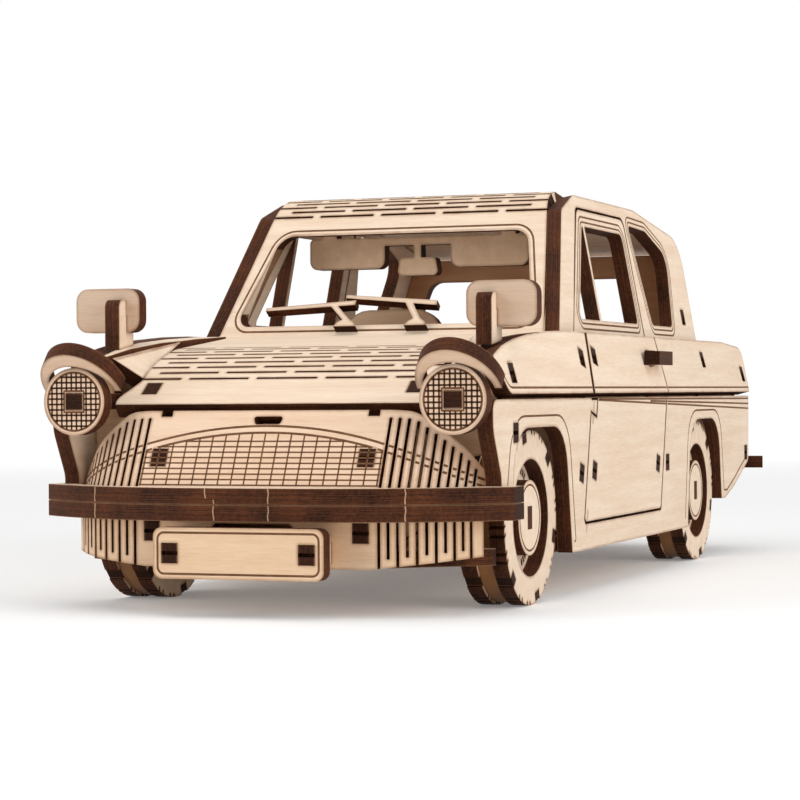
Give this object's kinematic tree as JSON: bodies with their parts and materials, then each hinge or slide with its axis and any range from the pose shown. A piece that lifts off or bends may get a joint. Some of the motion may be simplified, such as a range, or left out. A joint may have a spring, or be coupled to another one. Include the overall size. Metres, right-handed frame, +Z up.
{
  "type": "plywood model car",
  "caption": "Laser-cut plywood model of a small two-door saloon car, with opening doors, bonnet and boot, turning wheels, bent slit panels and a furnished open cabin.",
  "frame": {"origin": "on the ground under the middle of the model's box, between the tyres", "axes": "+X to the car's left side, +Y to its rear, +Z up; the nose faces -Y"},
  "size_m": [0.0926, 0.2246, 0.081],
  "materials": {
    "plywood": "raw birch veneer with burnt brown edges",
    "dowel": "raw round dowel",
    "rubber_band": "amber translucent rubber, matt"
  },
  "bodies": {
    "body": {"chassis_floor": "plywood", "axle_bearers": "plywood", "front_bulkhead": "plywood", "firewall": "plywood", "seat_bulkhead": "plywood", "rear_bulkhead": "plywood", "lower_side_left": "plywood", "lower_side_right": "plywood", "upper_front_left": "plywood", "upper_front_right": "plywood", "upper_rear_left": "plywood", "upper_rear_right": "plywood", "cabin_side_left": "plywood", "cabin_side_right": "plywood", "windscreen_roof": "plywood", "rear_window_panel": "plywood", "rear_panel": "plywood", "tail_lamps": "plywood", "rear_bumper": "plywood", "grille_panel": "plywood", "valance": "plywood", "front_bumper_plies": "plywood", "number_plate": "plywood", "nose_brackets": "plywood", "headlights": "plywood", "headlight_carriers": "plywood", "brows": "plywood", "wing_tops": "plywood", "bonnet_infills": "plywood", "mirror_posts": "plywood", "mirror_heads": "plywood", "wipers": "plywood", "visor_strip": "plywood", "dashboard": "plywood", "front_seats": "plywood", "hinge_pins": "dowel"},
    "door_left": {"door_lower_left": "plywood", "door_upper_left": "plywood", "door_window_left": "plywood", "door_stiles_left": "plywood", "door_handle_left": "plywood"},
    "door_right": {"door_lower_right": "plywood", "door_upper_right": "plywood", "door_window_right": "plywood", "door_stiles_right": "plywood", "door_handle_right": "plywood"},
    "bonnet": {"bonnet": "plywood", "bonnet_ribs": "plywood"},
    "boot_lid": {"boot_lid": "plywood"},
    "steering_wheel": {"steering_wheel": "plywood"},
    "front_wheels": {"front_axle": "dowel", "front_tyre_rings": "plywood", "front_wheel_discs": "plywood", "front_hub_caps": "plywood", "front_bands": "rubber_band"},
    "rear_wheels": {"rear_axle": "dowel", "rear_tyre_rings": "plywood", "rear_wheel_discs": "plywood", "rear_hub_caps": "plywood", "rear_bands": "rubber_band"}
  },
  "joints": [
    {"name": "door_left_hinge", "type": "hinge", "parent": "body", "child": "door_left", "pos_m": [0.042, -0.04018, 0.014], "axis": [0, -0.238, -0.9713], "range_deg": [0, 60]},
    {"name": "door_right_hinge", "type": "hinge", "parent": "body", "child": "door_right", "pos_m": [-0.042, -0.04018, 0.014], "axis": [0, 0.238, 0.9713], "range_deg": [0, 60]},
    {"name": "bonnet_hinge", "type": "hinge", "parent": "body", "child": "bonnet", "pos_m": [0, -0.0513, 0.0458], "axis": [-1, 0, 0], "range_deg": [0, 40]},
    {"name": "boot_hinge", "type": "hinge", "parent": "body", "child": "boot_lid", "pos_m": [0, 0.0753, 0.0454], "axis": [1, 0, 0], "range_deg": [0, 45]},
    {"name": "steering_column", "type": "hinge", "parent": "body", "child": "steering_wheel", "pos_m": [-0.015, -0.0203, 0.0445], "axis": [0, 0.9135, 0.4067], "continuous": true},
    {"name": "front_axle_turn", "type": "hinge", "parent": "body", "child": "front_wheels", "pos_m": [0, -0.0703, 0.0162], "axis": [1, 0, 0], "continuous": true},
    {"name": "rear_axle_turn", "type": "hinge", "parent": "body", "child": "rear_wheels", "pos_m": [0, 0.0607, 0.0162], "axis": [1, 0, 0], "continuous": true}
  ]
}
